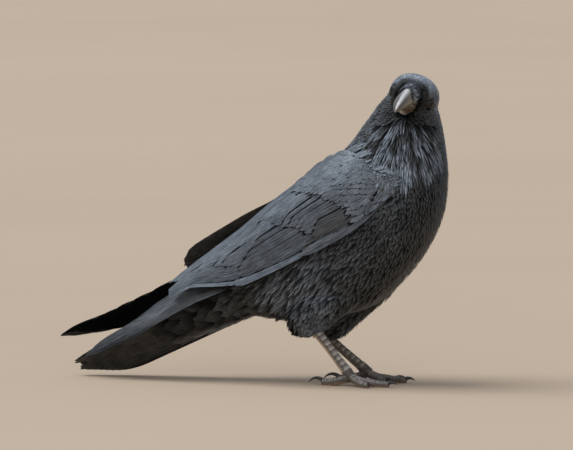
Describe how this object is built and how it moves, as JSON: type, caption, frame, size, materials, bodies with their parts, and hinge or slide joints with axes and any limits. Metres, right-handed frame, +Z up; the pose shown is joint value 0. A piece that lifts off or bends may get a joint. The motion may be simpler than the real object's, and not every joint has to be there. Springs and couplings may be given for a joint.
{
  "type": "standing raven figure",
  "caption": "Life-size common raven standing with folded wings, its head turned to its right to face sideways.",
  "frame": {"origin": "on the floor, under the centre of the bounding box", "axes": "+X is the way the trunk faces, +Y is the bird's left, +Z is up; the head looks towards -Y"},
  "size_m": [0.4832, 0.1734, 0.3594],
  "materials": {
    "plumage": "glossy blue-black feathers",
    "bill": "polished black horn",
    "eye": "wet dark brown",
    "leg_skin": "scaled grey-black skin",
    "claw": "black horn"
  },
  "bodies": {
    "root": {"trunk": "plumage", "neck": "plumage", "head": "plumage", "tail": "plumage", "wing_left": "plumage", "wing_right": "plumage", "primaries_left": "plumage", "primaries_right": "plumage", "thigh_left": "plumage", "thigh_right": "plumage", "bill_upper": "bill", "bill_lower": "bill", "eye_left": "eye", "eye_right": "eye", "tarsus_left": "leg_skin", "tarsus_right": "leg_skin", "foot_left": "leg_skin", "foot_right": "leg_skin", "claw_left_1": "claw", "claw_left_2": "claw", "claw_left_3": "claw", "claw_left_4": "claw", "claw_right_1": "claw", "claw_right_2": "claw", "claw_right_3": "claw", "claw_right_4": "claw"}
  },
  "joints": []
}
